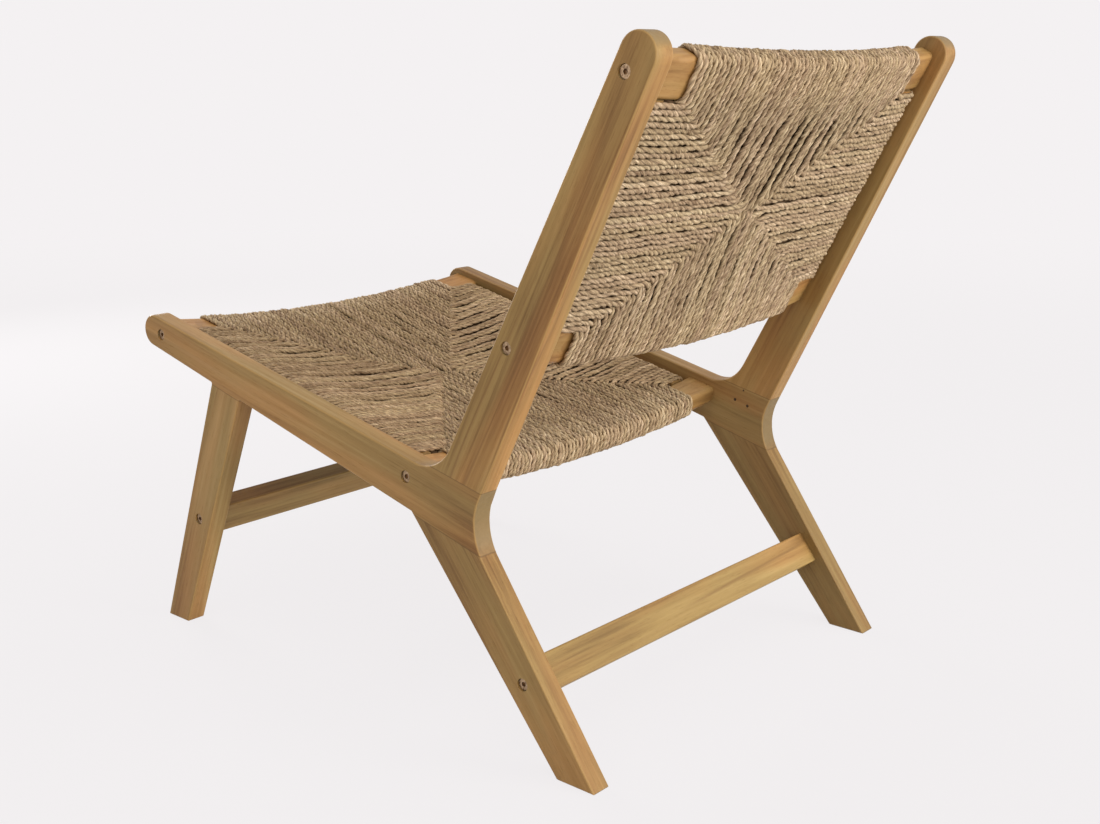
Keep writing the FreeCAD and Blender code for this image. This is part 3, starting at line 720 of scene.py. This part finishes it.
def weave_panel(panel, node, origin, lean, spacing, covers, tightness, rail_names, tint):
    """Four fields of one panel. Each row covers a set number of columns at the diagonal, going over them and
    in behind them; those columns go in under the row, and the few columns past the last row meet end to end.
    The covers are one list of such numbers for the rows next to each rail, so the longer list moves the
    meeting line off the middle. The tightness of the bunches is set for each rail's columns and the rows."""
    column_overrun = 0.0015
    bridge_overrun = 0.002
    along = in_profile(lean)
    up = in_profile(lean + 90.0)
    panel_matrix = Matrix.Translation(origin) @ Matrix((x_axis, along, up)).transposed().to_4x4()
    half_columns = sum(covers[0])
    column_pitch = 2.0 * column_edge / (2 * half_columns + bridge_columns)
    row_pitch = (spacing - 2.0 * rail_half_width) / (len(covers[0]) + len(covers[1]))
    meeting = rail_half_width + row_pitch * len(covers[0])
    distances = [rail_half_width + row_pitch * (np.arange(len(cover)) + 0.5) for cover in covers]
    row_places = np.concatenate((distances[0], spacing - distances[1]))
    row_ends = np.concatenate([column_edge - column_pitch * np.cumsum(cover) for cover in covers])
    fields = []
    for number, bridge in enumerate((meeting, spacing - meeting)):
        half_tucks = np.repeat(distances[number] + column_overrun, covers[number])
        bridge_tucks = np.full(bridge_columns, bridge + bridge_overrun)
        tucks = np.concatenate((half_tucks, bridge_tucks, half_tucks[::-1]))
        paths = column_paths(spacing, tucks, number == 1, tightness[number])
        fields.append((rail_names[number], paths, (1.0, 0.0, 0.0)))
    for field_name, side in (("left", 1.0), ("right", -1.0)):
        paths = row_paths(spacing, row_places, row_ends, meeting, side, tightness[2])
        fields.append((field_name, paths, (0.0, 1.0, 0.0)))
    pieces = [rope_field(panel + "_weave_" + field_name, paths, side_axis, panel_matrix)
              for field_name, paths, side_axis in fields]
    # The tint passed on is painted shade over the panel's rope
    rope = twisted_grass(panel + "_grass", tint, along, origin.dot(along) + spacing / 2.0, spacing)
    for piece in pieces:
        piece.data.materials.append(rope)
    inside = inner_turns(panel + "_weave_inside", spacing, panel_matrix)
    inside.data.materials.append(inner_rope)
    for piece in pieces + [inside]:
        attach(piece, "root")
        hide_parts(node)


seat_origin = Vector((0.0, -0.3669, 0.3810))
seat_spacing = 0.453
seat_covers = (even_covers(30, 30), even_covers(30, 30))
seat_tightness = (0.25, 0.35, 0.60)
# Painted shade: the seat's rope is made darker, as the shade the back casts on it
seat_painted_shade = (0.81, 0.77, 0.71, 1.0)
weave_panel("seat", "woven_seat", seat_origin, seat_lean, seat_spacing, seat_covers, seat_tightness,
            ("front", "rear"), seat_painted_shade)

back_origin = Vector((0.0, 0.2240, 0.4426))
back_spacing = 0.301
back_covers = (even_covers(30, 19), even_covers(30, 21))
back_tightness = (0.40, 0.85, 0.12)
# Painted shade: the back's rope is made a little darker
back_painted_shade = (0.91, 0.92, 0.93, 1.0)
weave_panel("back", "woven_back", back_origin, back_lean, back_spacing, back_covers, back_tightness,
            ("bottom", "top"), back_painted_shade)

# Bolts, threaded inserts and tacks
# Twelve bronze-plated socket bolts are sunk in the outer faces and run into brass sleeves in the ends of
# the cross pieces. Small steel tacks pin the rope's ends to the side sticks, out of sight.


def worn_metal(name, worn, bright, roughness, seed):
    """Metal with a blotchy surface: by noise a darker, duller colour and a brighter, glossier one."""
    material, tree, shader = new_material(name)
    place = tree.nodes.new("ShaderNodeTexCoord").outputs["Object"]
    blotches = noise(tree, place, (420.0, 420.0, 420.0), seed, 4.0, 0.6)
    colour = colour_steps(tree, blotches, [(0.35, worn), (0.62, bright)])
    tree.links.new(colour, shader.inputs["Base Color"])
    gloss = between(tree, blotches, 0.3, 0.7, roughness + 0.15, roughness)
    tree.links.new(gloss, shader.inputs["Roughness"])
    shader.inputs["Metallic"].default_value = 1.0
    relief(tree, shader, blotches, 0.15, 0.0003)
    return material


# Name of the node and of its finish, worn and bright colour, roughness where bright, seed
metal_nodes = [
    ("frame_bolts", "bronze_plate", (0.17, 0.105, 0.062, 1.0), (0.50, 0.35, 0.215, 1.0), 0.33, 2.0),
    ("threaded_inserts", "turned_brass", (0.50, 0.36, 0.15, 1.0), (0.72, 0.55, 0.26, 1.0), 0.25, 5.0),
    ("rope_tacks", "tack_steel", (0.30, 0.30, 0.31, 1.0), (0.52, 0.52, 0.53, 1.0), 0.30, 8.0),
]
for metal_node, finish, worn, bright, roughness, seed in metal_nodes:
    dress(metal_node, worn_metal(finish, worn, bright, roughness, seed))

# Brads
# Three small dark nail heads in the inner face of each side frame, by the joint of post, rail and rear leg.
# They are driven almost flush, so only a low dome of each shows.

# Each head's place in the side profile, rearwards and up, and its radius
brads_at = [(0.1332, 0.2774, 0.0021), (0.1460, 0.2917, 0.0013), (0.1527, 0.2716, 0.0021)]
brad_rise = 0.0003
brad_points = 12
dome_levels = 3


def brad_heads(name):
    """Low domes on both inner faces: rings of a quarter ellipse from the rim to the tip, closed by a flat
    back. On the right side the faces run the other way round, because the dome is mirrored."""
    lift = np.linspace(0.0, math.pi / 2.0, dome_levels, endpoint=False)
    around = np.arange(brad_points) * 2.0 * math.pi / brad_points
    ring_y = (np.cos(lift)[:, None] * np.cos(around)[None, :]).ravel()
    ring_z = (np.cos(lift)[:, None] * np.sin(around)[None, :]).ravel()
    ring_x = half_span - np.repeat(np.sin(lift), brad_points) * brad_rise
    dome_x = np.concatenate((ring_x, [half_span - brad_rise, half_span]))
    dome_y = np.concatenate((ring_y, [0.0, 0.0]))
    dome_z = np.concatenate((ring_z, [0.0, 0.0]))
    point = np.arange(brad_points)
    following = (point + 1) % brad_points
    tip, back = len(ring_x), len(ring_x) + 1
    low = np.arange(dome_levels - 1)[:, None] * brad_points
    high = low + brad_points
    quads = np.stack((low + following, low + point, high + point, high + following), axis=2).reshape(-1, 4)
    top = (dome_levels - 1) * brad_points
    tip_fan = np.stack((top + following, top + point, np.full_like(point, tip)), axis=1)
    back_fan = np.stack((point, following, np.full_like(point, back)), axis=1)
    vertices, faces = [], []
    for side in (1, -1):
        for y, z, radius in brads_at:
            first = len(vertices)
            vertices += np.stack((side * dome_x, y + radius * dome_y, z + radius * dome_z), axis=1).tolist()
            for part in (quads, tip_fan, back_fan):
                faces += (first + part[:, ::side]).tolist()
    return new_piece(name, vertices, faces)


brads = brad_heads("joint_brads")
dark_steel = worn_metal("dark_steel", (0.030, 0.018, 0.010, 1.0), (0.085, 0.055, 0.032, 1.0), 0.45, 11.0)
brads.data.materials.append(dark_steel)
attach(brads, "root")

# Floor, light and camera
# A plain pale studio: an even floor that runs out into a background of the same tone, soft light from above
# and behind with less from the front, broad lamps behind and before the chair and a weak one on its left.

studio_tone = (0.905, 0.880, 0.888, 1.0)
paper_tone = (0.58, 0.57, 0.57, 1.0)
floor_radius = 9.0
floor_points = 96
fade_start = 1.3
fade_end = 4.5
floor_glow = 0.91
angles = np.linspace(0.0, 2.0 * math.pi, floor_points, endpoint=False)
circle = np.stack((np.cos(angles), np.sin(angles), np.zeros_like(angles)), axis=1)
studio_floor = new_piece("studio_floor", (floor_radius * circle).tolist(), [list(range(floor_points))])


def shown_directly(tree):
    """1 for a ray that the camera sees, straight or by a reflection or through something clear, and 0 for
    the rest."""
    seen = tree.nodes.new("ShaderNodeLightPath").outputs
    clear = calculate(tree, "MAXIMUM", seen["Is Glossy Ray"], seen["Is Transmission Ray"])
    return calculate(tree, "MAXIMUM", seen["Is Camera Ray"], clear)


floor_material, tree, shader = new_material("studio_paper")
shader.inputs["Base Color"].default_value = paper_tone
shader.inputs["Roughness"].default_value = 0.9
shader.inputs["Specular IOR Level"].default_value = 0.0
place = tree.nodes.new("ShaderNodeTexCoord").outputs["Object"]
away = add_node(tree, "VectorMath", place, operation="LENGTH").outputs["Value"]
share = between(tree, away, fade_start, fade_end, floor_glow, 1.0)
share = calculate(tree, "MULTIPLY", share, shown_directly(tree))
background = add_node(tree, "Emission", studio_tone, 1.0).outputs[0]
blend = add_node(tree, "MixShader", share, shader.outputs[0], background)
tree.links.new(blend.outputs[0], tree.nodes["Material Output"].inputs["Surface"])
studio_floor.data.materials.append(floor_material)

fill_strength = 0.10
top_strength = 1.40
rear_strength = 0.25
front_strength = 0.45
top_direction = (0.0, 0.66, 0.75)
rear_direction = (0.0, 1.0, 0.0)
front_direction = (0.0, -1.0, 0.0)
world = bpy.data.worlds.new("studio")
bpy.context.scene.world = world
world.use_nodes = True
tree = world.node_tree
towards = tree.nodes.new("ShaderNodeTexCoord").outputs["Generated"]
from_top = between(tree, dot(tree, towards, top_direction), 0.15, 1.0, 0.0, top_strength)
from_rear = between(tree, dot(tree, towards, rear_direction), 0.2, 1.0, 0.0, rear_strength)
from_front = between(tree, dot(tree, towards, front_direction), 0.2, 1.0, 0.0, front_strength)
strength = calculate(tree, "ADD", calculate(tree, "ADD", from_top, from_rear), fill_strength)
strength = calculate(tree, "ADD", strength, from_front)
fill = add_node(tree, "Background", (1.0, 1.0, 1.0, 1.0), strength).outputs[0]
backdrop = add_node(tree, "Background", studio_tone, 1.0).outputs[0]
blend = add_node(tree, "MixShader", shown_directly(tree), fill, backdrop)
tree.links.new(blend.outputs[0], tree.nodes["World Output"].inputs["Surface"])

# Name of the lamp, its place, its power in watts
lamps = [
    ("rear_lamp", Vector((-0.85, 2.9, 0.85)), 46.0),
    ("side_lamp", Vector((1.7, 0.1, 0.70)), 3.5),
    ("front_lamp", Vector((-0.3, -2.6, 1.0)), 42.0),
]
lamp_width = 1.2
lamp_height = 0.7
lamp_aim = Vector((0.0, 0.0, 0.4))
for lamp_name, lamp_place, lamp_power in lamps:
    lamp = bpy.data.objects.new(lamp_name, bpy.data.lights.new(lamp_name, "AREA"))
    lamp.data.shape = "RECTANGLE"
    lamp.data.size = lamp_width
    lamp.data.size_y = lamp_height
    lamp.data.energy = lamp_power
    lamp.location = lamp_place
    lamp.rotation_euler = (lamp_place - lamp_aim).to_track_quat("Z", "Y").to_euler()
    bpy.context.scene.collection.objects.link(lamp)

camera_place = Vector((1.281, 1.150, 0.720))
camera_aim = Vector((-0.006, 0.028, 0.291))
camera = bpy.data.objects.new("camera", bpy.data.cameras.new("camera"))
camera.data.sensor_width = 36.0
camera.data.lens = 46.3
camera.location = camera_place
camera.rotation_euler = (camera_aim - camera_place).to_track_quat("-Z", "Y").to_euler()
bpy.context.scene.collection.objects.link(camera)
bpy.context.scene.camera = camera
bpy.context.scene.view_settings.view_transform = "Standard"
